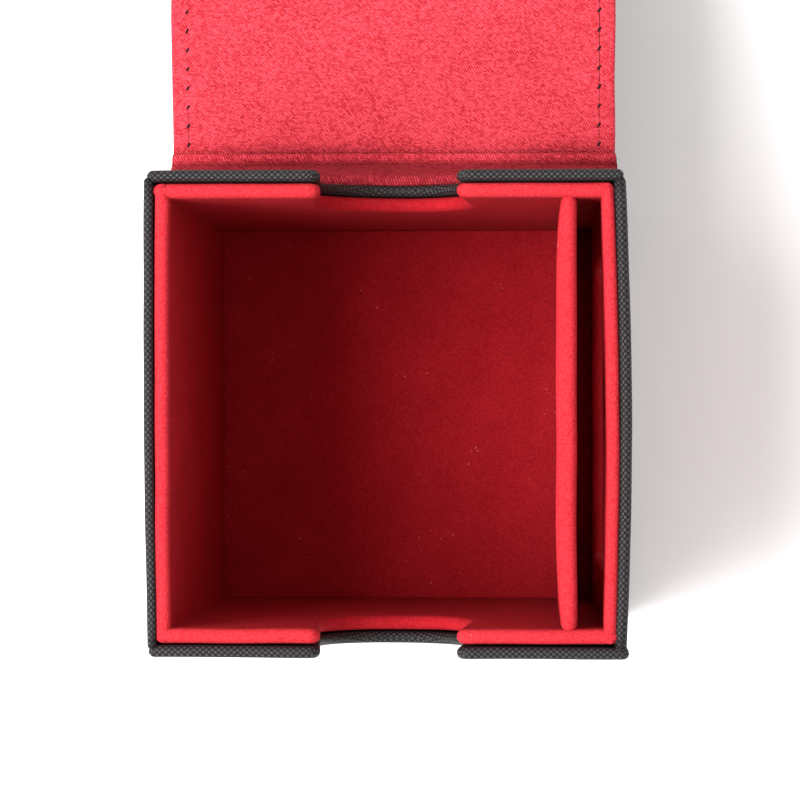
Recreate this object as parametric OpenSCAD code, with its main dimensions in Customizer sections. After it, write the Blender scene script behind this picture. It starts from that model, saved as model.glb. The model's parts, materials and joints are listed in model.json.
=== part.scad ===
// Card deck box: a leather-covered case with a lined tray inside, a divider that makes a display
// slot behind a window, and a three-panel flap that folds over the top and down the front.
// The origin is the centre of the underside. +Z is up, +X is the window side, +Y is the flap side.
// The flap is drawn open, arched out behind the box with its last panel flat on the table.

/* [Box] */
// Outside width, from the plain side to the window side
box_w = 87; // [72:1:105]
// Outside depth, from the front to the flap side
box_d = 88; // [74:1:106]
// Outside height of the walls
box_h = 107; // [90:1:128]

/* [Case walls] */
// Board inside each outer wall
case_board_t = 1.2; // [1:0.1:2]
// Leather skin on the case
leather_t = 0.5; // [0.4:0.1:0.8]
// Board in the bottom of the case
base_board_t = 1.5; // [1:0.1:3]

/* [Tray] */
// Board inside the front and back tray walls
tray_board_t = 1.8; // [1:0.1:2.5]
// Board inside the tray wall on the plain side
tray_left_board_t = 0.8; // [0.6:0.1:2]
// Board inside the tray wall on the window side
tray_right_board_t = 1.5; // [1:0.1:2.5]
// Microfibre lining on the tray
lining_t = 0.5; // [0.4:0.1:0.8]
// Board in the tray floor
floor_board_t = 1.5; // [1:0.1:3]
// Board inside the divider
divider_board_t = 2; // [1:0.1:3]
// Width of the display slot behind the window
slot_w = 4.4; // [4.2:0.1:9]
// How far the divider stops below the rim
divider_drop = 0.5; // [0:0.5:10]

/* [Thumb notches] */
// Radius of the notch's round bottom
notch_r = 14; // [12:0.5:16]
// Half the width of the notch's neck at the rim
notch_neck = 12.2; // [10:0.1:14]
// Depth of the notch below the rim
notch_depth = 41; // [34:1:49]
// Radius of the shoulders where the notch meets the rim
shoulder_r = 2.5; // [2:0.5:6]

/* [Window] */
// Width of the window
window_w = 58; // [30:1:60]
// Height of the window
window_h = 76; // [40:1:78]
// Height of the wall above the window
window_top_drop = 17; // [8:1:18]
// Radius of the window's corners
window_r = 5.5; // [3:0.5:10]
// Clear film behind the window
film_t = 0.3; // [0.2:0.1:0.5]
// How far the film stops below the rim
film_drop = 6; // [2:1:7]

/* [Flap] */
// Width of the flap
flap_w = 86; // [68:1:104]
// Board inside each flap panel
flap_board_t = 1.4; // [1:0.1:2]
// Leather or lining on one face of the flap
flap_skin_t = 0.6; // [0.4:0.1:0.8]
// Lining turned over the edges of a panel's board
flap_edge_t = 1; // [0.6:0.1:2]
// Length of the front panel, from its fold to its free edge
flap_front_len = 58; // [54:1:75]
// Radius of the flap's free corners
flap_corner_r = 6; // [4:0.5:12]
// Gap between the closed flap and the box
flap_clear = 0.3; // [0.3:0.1:1]
// Soft strip on each side of a fold line
fold_gap = 2; // [1.8:0.1:4]

/* [Back fold] */
// Height of the strip that is glued to the back wall
anchor_h = 14; // [8:1:25]
// How far the glued strip stops below the notch
fold_drop = 1.5; // [1:0.5:4]
// Free length of the soft strip between the wall and the back panel
strip_len = 9; // [8:0.5:12]
// Distance from the wall to the back panel with the flap open
panel_out = 6.5; // [6:0.5:8]
// How far the back panel starts below the glued strip's top with the flap open
panel_down = 2; // [1:0.5:4]
// Radius of the strip's roll over its glued top
roll_r = 0.9; // [0.8:0.1:1.5]
// How steeply the strip falls from the roll, in degrees
roll_fall = 60; // [50:5:75]
// How much the open back panel rises away from the box, in degrees
back_rise = 7.8; // [0:0.1:12]

/* [Closure] */
// Diameter of a magnet
magnet_d = 10; // [6:1:12]
// Thickness of a magnet
magnet_t = 1; // [0.8:0.1:1]
// Distance of each magnet from the middle
magnet_x = 24; // [20:1:30]
// Height of the rim above the magnets
magnet_drop = 48; // [44:1:50]
// Gap round a magnet in its board
magnet_fit = 0.1; // [0.05:0.05:0.3]

/* [Stitching] */
// Width of a row of stitches
thread_w = 0.4; // [0.3:0.1:0.6]
// How far a row stands out of its face
thread_h = 0.2; // [0.1:0.05:0.25]
// Distance of the flap's rows from its edges
flap_stitch_in = 3.2; // [2:0.2:6]
// Distance of the window's row from the window
window_stitch_out = 2.2; // [1.5:0.1:4]

/* [Hidden] */
$fn = 96;
// How far a cutting shape runs past the face that it cuts
over = 1;

leather_black = "#1d1d1f";
lining_red = "#c41230";
board_grey = "#8f8676";
thread_red = "#a01026";
thread_black = "#141012";

// Case: the front and back walls span the full width, and the side walls stand between them
case_t = case_board_t + 2 * leather_t;
half_w = box_w / 2;
half_d = box_d / 2;
case_in_x = half_w - case_t;
case_in_y = half_d - case_t;
base_top = leather_t + base_board_t;

// Tray: glued inside the case in the same way, on the base board
tray_t = tray_board_t + 2 * lining_t;
tray_left_t = tray_left_board_t + 2 * lining_t;
tray_right_t = tray_right_board_t + 2 * lining_t;
tray_y = case_in_y - tray_t;
tray_x0 = -case_in_x + tray_left_t;
tray_x1 = case_in_x - film_t - tray_right_t;
floor_board_top = base_top + floor_board_t;
floor_top = floor_board_top + lining_t;

divider_t = divider_board_t + 2 * lining_t;
divider_x1 = tray_x1 - slot_w;
divider_x0 = divider_x1 - divider_t;
divider_top = box_h - divider_drop;

notch_bottom = box_h - notch_depth;
notch_mid = notch_bottom + notch_r;

window_top = box_h - window_top_drop;
window_z = window_top - window_h / 2;

// Flap: each panel is given by its fold point, its angle and its length, in the plane of Y and Z.
// A panel's lining is on the left of its direction, and its middle plane runs through the fold points.
flap_t = flap_board_t + 2 * flap_skin_t;
fold_z = notch_bottom - fold_drop;
skin_side = -flap_t / 2;
lining_side = flap_t / 2;
closed_y = half_d + flap_clear + flap_t / 2;
closed_z = box_h + flap_clear + flap_t / 2;

function toward(a) = [cos(a), sin(a)];
function across(a) = [-sin(a), cos(a)];

// The notch's sides lean in to its neck. They cut into its round bottom and its shoulders a little,
// because a side that only touched them would leave open slivers. Heights are above notch_mid.
side_cut = 0.99;
side_reach = side_cut * notch_r;
neck_z = box_h - notch_mid;
notch_lean = atan2(neck_z, notch_neck) - acos(side_reach / norm([notch_neck, neck_z]));
notch_side = toward(notch_lean);
function notch_x(gap, z) = (side_reach + gap - z * notch_side[1]) / notch_side[0];
shoulder_z = neck_z - shoulder_r;
shoulder_x = notch_x(side_cut * shoulder_r, shoulder_z);

back_start_closed = fold_z + strip_len;
back_len = closed_z - back_start_closed;
back_start = [half_d + panel_out, fold_z - panel_down] - lining_side * across(back_rise);
top_pivot = back_start + back_len * toward(back_rise);

// The top panel leans down until the front panel lies on the table, and a flap too short for that
// hangs free of it
top_len = 2 * closed_y;
top_slope = asin(min(0.98, (top_pivot[1] - flap_t / 2) / top_len));
front_pivot = top_pivot + top_len * toward(-top_slope);
front_z = front_pivot[1] - flap_t / 2;
front_y0 = front_pivot[0] + fold_gap;
front_y1 = front_pivot[0] + flap_front_len;
magnet_reach = magnet_drop + flap_clear + flap_t / 2;

// The soft strip rolls over its glued top, falls, and turns level with the back panel in a valley.
// A short straight lead meets the glued strip squarely.
roll_lead = 0.2;
roll_centre = [half_d + flap_skin_t + roll_r, fold_z + roll_lead];
roll_step = 30;
roll_end = roll_centre + roll_r * toward(90 - roll_fall);
valley = roll_end + toward(-roll_fall)
    * cross(back_start - roll_end, toward(back_rise)) / cross(toward(-roll_fall), toward(back_rise));
wall_crease = concat(
    [[half_d + flap_skin_t, fold_z]],
    [for (a = [180:-roll_step:91 - roll_fall]) roll_centre + roll_r * toward(a)],
    [roll_end, valley, back_start]);
top_crease = [
    top_pivot - fold_gap * toward(back_rise),
    top_pivot,
    top_pivot + fold_gap * toward(-top_slope)];
front_crease = [
    front_pivot - fold_gap * toward(-top_slope),
    front_pivot,
    front_pivot + fold_gap * toward(0)];

// ---- Shapes that repeat ----

// A plain block between two corners
module block(low, high) {
    translate(low) cube(high - low);
}

// Extrudes an outline in the plane of X and Z from y0 over a thickness
module facing_y(y0, thickness) {
    translate([0, y0 + thickness, 0]) rotate([90, 0, 0]) linear_extrude(thickness) children();
}

// Extrudes an outline in the plane of Y and Z from x0 over a thickness
module facing_x(x0, thickness) {
    translate([x0, 0, 0]) rotate([90, 0, 90]) linear_extrude(thickness) children();
}

// The thumb notch's outline, grown by a gap: a round bottom, sides that lean in and flared shoulders
module notch_outline(gap) {
    top = neck_z + over;
    low = (side_reach + gap) * notch_side;
    foot = [shoulder_x, shoulder_z] - (side_cut * shoulder_r - gap) * notch_side;
    translate([0, notch_mid]) {
        circle(notch_r + gap);
        polygon([low, [notch_x(gap, top), top], [-notch_x(gap, top), top], [-low[0], low[1]]]);
        for (side = [-1, 1]) difference() {
            polygon([
                [0, top],
                [0, foot[1]],
                [side * foot[0], foot[1]],
                [side * shoulder_x, shoulder_z],
                [side * shoulder_x, top]]);
            translate([side * shoulder_x, shoulder_z]) circle(shoulder_r - gap);
        }
    }
}

// A front or back wall with its thumb notch
module notched_wall(y0, thickness, x0, x1, z0, z1, gap) {
    facing_y(y0, thickness) difference() {
        translate([x0, z0]) square([x1 - x0, z1 - z0]);
        notch_outline(gap);
    }
}

// A rectangle with round corners, centred
module round_rectangle(w, h, r) {
    square([w - 2 * r, h], center = true);
    square([w, h - 2 * r], center = true);
    for (x = [-1, 1], y = [-1, 1]) translate([x * (w / 2 - r), y * (h / 2 - r)]) circle(r);
}

// The window's outline, grown by a gap
module window_outline(gap) {
    translate([0, window_z]) round_rectangle(window_w + 2 * gap, window_h + 2 * gap, window_r + gap);
}

// A side wall, with the window cut out of it if a gap is given
module side_wall(x0, thickness, y1, z0, z1, gap = undef) {
    facing_x(x0, thickness) difference() {
        translate([-y1, z0]) square([2 * y1, z1 - z0]);
        if (!is_undef(gap)) window_outline(gap);
    }
}

// The round holes for the magnets in a board that faces Y, and the magnets themselves
module magnet_pair(y0, thickness, z, d) {
    for (side = [-1, 1])
        translate([side * magnet_x, y0, z]) rotate([-90, 0, 0]) cylinder(h = thickness, d = d);
}

// A flap panel's layer, from s0 to s1 along the panel and from n0 to n1 through its thickness
module layer(fold, angle, s0, s1, n0, n1, w) {
    facing_x(-w / 2, w) translate(fold) rotate(angle) translate([s0, n0]) square([s1 - s0, n1 - n0]);
}

module panel_leather(fold, angle, s0, s1) {
    color(leather_black) layer(fold, angle, s0, s1, skin_side, skin_side + flap_skin_t, flap_w);
}

module panel_board(fold, angle, s0, s1, extra = 0) {
    layer(fold, angle, s0 + flap_edge_t, s1 - flap_edge_t, skin_side + flap_skin_t - extra,
        lining_side - flap_skin_t, flap_w - 2 * flap_edge_t);
}

// The lining covers the inside face and turns over the board's edges down to the leather
module panel_lining(fold, angle, s0, s1) {
    color(lining_red) difference() {
        layer(fold, angle, s0, s1, skin_side + flap_skin_t, lining_side, flap_w);
        panel_board(fold, angle, s0, s1, over);
    }
}

module panel_thread(fold, angle, s0, s1) {
    color(thread_black) for (side = [-1, 1]) translate([side * (flap_w / 2 - flap_stitch_in), 0, 0])
        layer(fold, angle, s0 + flap_edge_t, s1 - flap_edge_t, lining_side, lining_side + thread_h,
            thread_w);
}

// The front panel's outline on the table, set in from its sides and free edge
module front_outline(inset, y0 = front_y0) {
    r = flap_corner_r - inset;
    x1 = flap_w / 2 - inset;
    y1 = front_y1 - inset;
    translate([-x1, y0]) square([2 * x1, y1 - r - y0]);
    translate([-x1 + r, y0]) square([2 * (x1 - r), y1 - y0]);
    for (side = [-1, 1]) translate([side * (x1 - r), y1 - r]) circle(r);
}

module front_layer(inset, z0, z1, y0 = front_y0) {
    translate([0, 0, front_z + z0]) linear_extrude(z1 - z0) front_outline(inset, y0);
}

// Directions of a path's stretches, and the mitred normal at each of its points
function stretch(path, i) = (path[i + 1] - path[i]) / norm(path[i + 1] - path[i]);
function left_of(v) = [-v[1], v[0]];
function mitre(path, i) =
    let (last = len(path) - 1,
        a = left_of(stretch(path, max(i - 1, 0))),
        b = left_of(stretch(path, min(i, last - 1))))
    (a + b) / (1 + a * b);

// A soft strip along a path, from n0 to n1 on its left
module strip(path, n0, n1) {
    last = len(path) - 1;
    facing_x(-flap_w / 2, flap_w) polygon(concat(
        [for (i = [0:last]) path[i] + n0 * mitre(path, i)],
        [for (i = [last:-1:0]) path[i] + n1 * mitre(path, i)]));
}

module strip_leather(path) { color(leather_black) strip(path, -flap_skin_t, 0); }
module strip_lining(path) { color(lining_red) strip(path, 0, flap_skin_t); }

// ---- Case ----

module base_leather() {
    color(leather_black) block([-half_w, -half_d, 0], [half_w, half_d, leather_t]);
}

module base_board() {
    color(board_grey) block([-case_in_x, -case_in_y, leather_t], [case_in_x, case_in_y, base_top]);
}

// The board of a notched case wall whose outside skin starts at y0
module case_board_shape(y0, z0 = leather_t) {
    notched_wall(y0 + leather_t, case_board_t, -half_w + leather_t, half_w - leather_t, z0,
        box_h - leather_t, leather_t);
}

module case_leather_shape(y0) {
    difference() {
        notched_wall(y0, case_t, -half_w, half_w, leather_t, box_h, 0);
        case_board_shape(y0, leather_t - over);
    }
}

module front_board() {
    color(board_grey) difference() {
        case_board_shape(-half_d);
        magnet_pair(-half_d, case_t, box_h - magnet_drop, magnet_d + 2 * magnet_fit);
    }
}

module back_board() { color(board_grey) case_board_shape(half_d - case_t); }
module front_leather() { color(leather_black) case_leather_shape(-half_d); }
module back_leather() { color(leather_black) case_leather_shape(half_d - case_t); }

module left_board() {
    color(board_grey)
        side_wall(-half_w + leather_t, case_board_t, case_in_y, leather_t, box_h - leather_t);
}

module left_leather() {
    color(leather_black) difference() {
        side_wall(-half_w, case_t, case_in_y, leather_t, box_h);
        side_wall(-half_w + leather_t, case_board_t, case_in_y + over, leather_t - over,
            box_h - leather_t);
    }
}

module right_board() {
    color(board_grey) side_wall(case_in_x + leather_t, case_board_t, case_in_y, leather_t,
        box_h - leather_t, leather_t);
}

module right_leather() {
    color(leather_black) difference() {
        side_wall(case_in_x, case_t, case_in_y, leather_t, box_h, 0);
        side_wall(case_in_x + leather_t, case_board_t, case_in_y + over, leather_t - over,
            box_h - leather_t, leather_t);
    }
}

module window_film() {
    color([0.85, 0.92, 0.95, 0.35])
        block([case_in_x - film_t, -tray_y, base_top], [case_in_x, tray_y, box_h - film_drop]);
}

module window_thread() {
    color(thread_red) facing_x(half_w, thread_h) difference() {
        window_outline(window_stitch_out + thread_w / 2);
        window_outline(window_stitch_out - thread_w / 2);
    }
}

module case_magnets() {
    color("silver")
        magnet_pair(-half_d + leather_t, magnet_t, box_h - magnet_drop, magnet_d);
}

// ---- Tray ----

module floor_board() {
    color(board_grey) block([tray_x0, -tray_y, base_top], [tray_x1, tray_y, floor_board_top]);
}

module floor_lining() {
    color(lining_red) block([tray_x0, -tray_y, floor_board_top], [tray_x1, tray_y, floor_top]);
}

module tray_board_shape(y0, z0 = base_top) {
    notched_wall(y0 + lining_t, tray_board_t, -case_in_x + lining_t, case_in_x - lining_t, z0,
        box_h - lining_t, lining_t);
}

module tray_lining_shape(y0) {
    difference() {
        notched_wall(y0, tray_t, -case_in_x, case_in_x, base_top, box_h, 0);
        tray_board_shape(y0, base_top - over);
    }
}

module inner_front_board() { color(board_grey) tray_board_shape(-case_in_y); }
module inner_back_board() { color(board_grey) tray_board_shape(tray_y); }
module inner_front_lining() { color(lining_red) tray_lining_shape(-case_in_y); }
module inner_back_lining() { color(lining_red) tray_lining_shape(tray_y); }

module inner_left_board() {
    color(board_grey)
        side_wall(-case_in_x + lining_t, tray_left_board_t, tray_y, base_top, box_h - lining_t);
}

module inner_left_lining() {
    color(lining_red) difference() {
        side_wall(-case_in_x, tray_left_t, tray_y, base_top, box_h);
        side_wall(-case_in_x + lining_t, tray_left_board_t, tray_y + over, base_top - over,
            box_h - lining_t);
    }
}

module inner_right_board() {
    color(board_grey) side_wall(tray_x1 + lining_t, tray_right_board_t, tray_y, base_top,
        box_h - lining_t, lining_t);
}

module inner_right_lining() {
    color(lining_red) difference() {
        side_wall(tray_x1, tray_right_t, tray_y, base_top, box_h, 0);
        side_wall(tray_x1 + lining_t, tray_right_board_t, tray_y + over, base_top - over,
            box_h - lining_t, lining_t);
    }
}

module divider_board() {
    color(board_grey) block([divider_x0 + lining_t, -tray_y + lining_t, floor_top],
        [divider_x1 - lining_t, tray_y - lining_t, divider_top - lining_t]);
}

module divider_lining() {
    color(lining_red) difference() {
        block([divider_x0, -tray_y, floor_top], [divider_x1, tray_y, divider_top]);
        block([divider_x0 + lining_t, -tray_y + lining_t, floor_top - over],
            [divider_x1 - lining_t, tray_y - lining_t, divider_top - lining_t]);
    }
}

// ---- Flap ----

module flap_anchor_leather() {
    color(leather_black) block([-flap_w / 2, half_d + flap_skin_t, fold_z - anchor_h],
        [flap_w / 2, half_d + 2 * flap_skin_t, fold_z]);
}

module flap_anchor_lining() {
    color(lining_red) block([-flap_w / 2, half_d, fold_z - anchor_h],
        [flap_w / 2, half_d + flap_skin_t, fold_z]);
}

module wall_crease_leather() { strip_leather(wall_crease); }
module wall_crease_lining() { strip_lining(wall_crease); }
module top_crease_leather() { strip_leather(top_crease); }
module top_crease_lining() { strip_lining(top_crease); }
module front_crease_leather() { strip_leather(front_crease); }
module front_crease_lining() { strip_lining(front_crease); }

module flap_back_board() {
    color(board_grey) panel_board(back_start, back_rise, 0, back_len - fold_gap);
}
module flap_back_leather() { panel_leather(back_start, back_rise, 0, back_len - fold_gap); }
module flap_back_lining() { panel_lining(back_start, back_rise, 0, back_len - fold_gap); }
module flap_back_thread() { panel_thread(back_start, back_rise, 0, back_len - fold_gap); }

module flap_top_board() {
    color(board_grey) panel_board(top_pivot, -top_slope, fold_gap, top_len - fold_gap);
}
module flap_top_leather() { panel_leather(top_pivot, -top_slope, fold_gap, top_len - fold_gap); }
module flap_top_lining() { panel_lining(top_pivot, -top_slope, fold_gap, top_len - fold_gap); }
module flap_top_thread() { panel_thread(top_pivot, -top_slope, fold_gap, top_len - fold_gap); }

// The magnets' places in the flap, below the front wall's when the flap is closed
module flap_magnet_pair(z0, thickness, d) {
    for (side = [-1, 1])
        translate([side * magnet_x, front_pivot[0] + magnet_reach, front_z + z0])
            cylinder(h = thickness, d = d);
}

module flap_front_board() {
    color(board_grey) difference() {
        front_layer(flap_edge_t, flap_skin_t, flap_t - flap_skin_t, front_y0 + flap_edge_t);
        flap_magnet_pair(0, flap_t, magnet_d + 2 * magnet_fit);
    }
}

module flap_front_leather() { color(leather_black) front_layer(0, 0, flap_skin_t); }

module flap_front_lining() {
    color(lining_red) difference() {
        front_layer(0, flap_skin_t, flap_t);
        front_layer(flap_edge_t, flap_skin_t - over, flap_t - flap_skin_t, front_y0 + flap_edge_t);
    }
}

module flap_front_thread() {
    color(thread_black) difference() {
        front_layer(flap_stitch_in - thread_w / 2, flap_t, flap_t + thread_h);
        front_layer(flap_stitch_in + thread_w / 2, flap_t - over, flap_t + over,
            front_y0 - over);
    }
}

module flap_magnets() {
    color("silver") flap_magnet_pair(flap_t - flap_skin_t - magnet_t, magnet_t, magnet_d);
}

base_leather();
base_board();
front_board();
back_board();
left_board();
right_board();
front_leather();
back_leather();
left_leather();
right_leather();
window_film();
window_thread();
floor_board();
floor_lining();
inner_front_board();
inner_back_board();
inner_left_board();
inner_right_board();
inner_front_lining();
inner_back_lining();
inner_left_lining();
inner_right_lining();
divider_board();
divider_lining();
case_magnets();
flap_magnets();
flap_anchor_leather();
flap_anchor_lining();
wall_crease_leather();
wall_crease_lining();
flap_back_board();
flap_back_leather();
flap_back_lining();
flap_back_thread();
top_crease_leather();
top_crease_lining();
flap_top_board();
flap_top_leather();
flap_top_lining();
flap_top_thread();
front_crease_leather();
front_crease_lining();
flap_front_board();
flap_front_leather();
flap_front_lining();
flap_front_thread();
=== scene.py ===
# %% [markdown]
# # A leather card deck box
# The box is a case of stiff boards wrapped in black embossed leather, with a tray of red-lined
# boards glued inside it. A flap of three panels is glued on behind and lies open. The packed
# model fixes every size and every hinge, so the first step is to load it and to note its box.

# %% Load the fixed frame
import json
import math
from collections import namedtuple

import bmesh
import bpy
from mathutils import Matrix, Vector, noise


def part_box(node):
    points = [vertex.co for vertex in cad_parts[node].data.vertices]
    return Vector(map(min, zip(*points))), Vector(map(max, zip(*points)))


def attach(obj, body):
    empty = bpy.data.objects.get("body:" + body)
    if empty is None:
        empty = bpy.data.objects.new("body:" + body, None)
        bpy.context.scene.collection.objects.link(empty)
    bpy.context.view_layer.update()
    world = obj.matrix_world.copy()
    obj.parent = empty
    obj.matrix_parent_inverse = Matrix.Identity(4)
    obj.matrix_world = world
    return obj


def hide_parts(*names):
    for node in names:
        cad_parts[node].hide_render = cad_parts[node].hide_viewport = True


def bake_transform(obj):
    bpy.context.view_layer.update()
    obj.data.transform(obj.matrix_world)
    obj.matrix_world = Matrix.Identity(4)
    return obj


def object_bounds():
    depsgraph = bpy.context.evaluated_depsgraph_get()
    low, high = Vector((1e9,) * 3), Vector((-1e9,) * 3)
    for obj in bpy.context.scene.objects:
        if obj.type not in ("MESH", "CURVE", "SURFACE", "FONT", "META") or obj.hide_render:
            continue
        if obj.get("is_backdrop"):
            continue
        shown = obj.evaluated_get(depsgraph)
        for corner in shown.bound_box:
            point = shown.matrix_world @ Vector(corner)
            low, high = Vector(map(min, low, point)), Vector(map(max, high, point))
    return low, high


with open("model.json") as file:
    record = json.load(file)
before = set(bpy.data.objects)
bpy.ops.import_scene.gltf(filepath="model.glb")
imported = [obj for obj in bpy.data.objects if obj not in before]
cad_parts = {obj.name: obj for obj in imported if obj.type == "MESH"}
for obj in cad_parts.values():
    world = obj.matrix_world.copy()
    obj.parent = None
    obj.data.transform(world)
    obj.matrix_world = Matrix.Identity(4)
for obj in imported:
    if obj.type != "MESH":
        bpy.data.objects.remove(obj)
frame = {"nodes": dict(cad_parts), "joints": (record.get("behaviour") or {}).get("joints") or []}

cad_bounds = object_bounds()
MM = 0.001
joints = {joint["name"]: joint for joint in frame["joints"]}

# %% [markdown]
# ## Camera
# The box is seen from above, a little to the right of its middle, with a long lens, so the left
# wall shows more of its inside than the right one does. Two points fix that view: where the
# camera hangs, and the point of the rim's plane that it looks at.

# %% Hang the camera
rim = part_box("front_leather")[1].z
camera_place = Vector((26.0, -1.0, 688.0)) * MM
camera_aim = Vector((2.2, 2.4, 0.0)) * MM + Vector((0, 0, rim))
sensor_mm, lens_mm, nearest = 36, 145, 10 * MM

camera = bpy.data.objects.new("camera", bpy.data.cameras.new("camera"))
bpy.context.scene.collection.objects.link(camera)
bpy.context.scene.camera = camera
camera.data.sensor_width = sensor_mm
camera.data.lens = lens_mm
camera.data.clip_start = nearest
camera.location = camera_place
sight = (camera_aim - camera_place).normalized()
side = sight.cross(Vector((0, 1, 0))).normalized()
above = side.cross(sight)
camera.rotation_mode = "QUATERNION"
camera.rotation_quaternion = Matrix((side, above, -sight)).transposed().to_quaternion()
print("camera:", tuple(round(c / MM) for c in camera.location), "mm")

# %% [markdown]
# ## Studio
# One large soft light stands to the left, high enough to reach the right half of the tray's
# floor over the left wall. A white surround fills the shadows. The floor is plain and pale.

# %% Light the studio
light_place, light_aim = (-0.56, -0.06, 0.92), (0.0, 0.0, 0.05)
light_side, light_watts = 0.70, 24.5
surround_colour, surround_strength = (1.0, 0.962, 0.955, 1), 1.04


def area_light(name, place, aim, size, power):
    """A square soft light at a place, turned to its aim."""
    light = bpy.data.lights.new(name, "AREA")
    light.shape = "SQUARE"
    light.size = size
    light.energy = power
    lamp = bpy.data.objects.new(name, light)
    bpy.context.scene.collection.objects.link(lamp)
    lamp.location = place
    lamp.rotation_mode = "QUATERNION"
    lamp.rotation_quaternion = (Vector(aim) - Vector(place)).to_track_quat("-Z", "Y")


area_light("window_light", light_place, light_aim, light_side, light_watts)
world = bpy.data.worlds.new("surround")
bpy.context.scene.world = world
world.use_nodes = True
background = world.node_tree.nodes["Background"].inputs
background["Color"].default_value = surround_colour
background["Strength"].default_value = surround_strength
bpy.context.scene.view_settings.view_transform = "Standard"
print("studio: one light of", light_watts, "W and a surround of strength", surround_strength)

# %% Lay the studio's floor
floor_half, floor_drop, floor_white = 3.0, 0.2 * MM, (0.90, 0.89, 0.89, 1)
floor_mesh = bmesh.new()
bmesh.ops.create_grid(floor_mesh, x_segments=1, y_segments=1, size=floor_half)
floor_data = bpy.data.meshes.new("floor")
floor_mesh.to_mesh(floor_data)
floor_mesh.free()
floor = bpy.data.objects.new("floor", floor_data)
floor.location.z = -floor_drop
bpy.context.scene.collection.objects.link(floor)
floor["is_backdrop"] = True
paper = bpy.data.materials.new("floor_paper")
paper.use_nodes = True
paper_inputs = paper.node_tree.nodes["Principled BSDF"].inputs
paper_inputs["Base Color"].default_value = floor_white
paper_inputs["Roughness"].default_value = 0.6
floor.data.materials.append(paper)
print("floor:", 2 * floor_half, "m wide")

# %% [markdown]
# ## Node helpers
# A material is a small graph of nodes. A few helpers keep the graphs short. The first places a
# node and fills its sockets: a socket is called by its name, or by its number after an underscore
# where the node has several of one name. The others do arithmetic, mix colours, build a group with
# named inputs and outputs, and start a material.

# %% Place and join nodes
def fill(tree, inputs, sockets):
    """Fills each named socket with a number, or joins another node's output to it."""
    for key, value in sockets.items():
        socket = inputs[int(key[1:]) if key[0] == "_" else key.replace("_", " ")]
        if isinstance(value, bpy.types.NodeSocket):
            tree.links.new(value, socket)
        else:
            socket.default_value = value


def put(tree, kind, settings=None, **sockets):
    """A node with its settings and its filled sockets."""
    node = tree.nodes.new(kind)
    for key, value in (settings or {}).items():
        setattr(node, key, value)
    fill(tree, node.inputs, sockets)
    return node


def sums(tree, operation, a, b=0.0, c=0.0):
    """One step of arithmetic."""
    return put(tree, "ShaderNodeMath", {"operation": operation}, _0=a, _1=b, _2=c).outputs[0]


def remap(tree, value, low, high, to_low, to_high):
    """A value carried from one range to another and held inside it."""
    return put(tree, "ShaderNodeMapRange", {"clamp": True}, Value=value, From_Min=low,
               From_Max=high, To_Min=to_low, To_Max=to_high).outputs["Result"]


def blend_colour(tree, share, a, b):
    """Two colours mixed by a share."""
    return put(tree, "ShaderNodeMix", {"data_type": "RGBA"}, _0=share, _6=a, _7=b).outputs[2]


def bumped(tree, strength, distance, height):
    """The surface's direction, tilted by a height."""
    return put(tree, "ShaderNodeBump", None, Strength=strength, Distance=distance,
               Height=height).outputs[0]


print("node helpers ready")

# %% Start a group or a material
def new_group(name, inputs, outputs):
    """An empty node group. Inputs are name and default, and a default of None makes a vector."""
    tree = bpy.data.node_groups.new(name, "ShaderNodeTree")
    for label, default in inputs:
        kind = "NodeSocketVector" if default is None else "NodeSocketFloat"
        socket = tree.interface.new_socket(name=label, in_out="INPUT", socket_type=kind)
        if default is not None:
            socket.default_value = default
    for label in outputs:
        tree.interface.new_socket(name=label, in_out="OUTPUT", socket_type="NodeSocketFloat")
    return tree, tree.nodes.new("NodeGroupInput").outputs, tree.nodes.new("NodeGroupOutput").inputs


def use_group(tree, group, **sockets):
    """The outputs of the group's node in a material."""
    return put(tree, "ShaderNodeGroup", {"node_tree": group}, **sockets).outputs


def new_material(name):
    """A material with its tree, its shader and its output."""
    material = bpy.data.materials.new(name)
    material.use_nodes = True
    tree = material.node_tree
    return material, tree, tree.nodes["Principled BSDF"]


def set_shader(tree, shader, **sockets):
    """Fills the shader's sockets with numbers or other nodes' outputs."""
    fill(tree, shader.inputs, sockets)


print("group and material helpers ready")

# %% [markdown]
# ## Surface effects
# Three effects are shared. Cloth and leather both have a fine random grain. The leather is
# embossed like a basket weave that is turned by 45 degrees, so its strands make zigzag rows of
# small lozenges. The flap's cloth is a twill, whose ribs run diagonally. The patterns read the
# pieces' own cloth coordinates, in metres, so they follow the material round its folds.

# %% Group: fine grain
grain_group, grain_in, grain_out = new_group(
    "fine_grain", [("Vector", None), ("Scale", 1000.0), ("Detail", 3.0)], ["Grain", "Blotch"])
fine = put(grain_group, "ShaderNodeTexNoise", None, Vector=grain_in["Vector"],
           Scale=grain_in["Scale"], Detail=grain_in["Detail"], Roughness=0.6)
coarse = put(grain_group, "ShaderNodeTexNoise", None, Vector=grain_in["Vector"],
             Scale=sums(grain_group, "MULTIPLY", grain_in["Scale"], 0.045), Detail=2.0)
grain_group.links.new(fine.outputs[0], grain_out["Grain"])
grain_group.links.new(coarse.outputs[0], grain_out["Blotch"])


def place_and_grain(tree, scale, detail):
    """In a material, the piece's own place and the grain's outputs there."""
    place = put(tree, "ShaderNodeTexCoord").outputs["Object"]
    return place, use_group(tree, grain_group, Vector=place, Scale=scale, Detail=detail)


print("effect:", grain_group.name)

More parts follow.
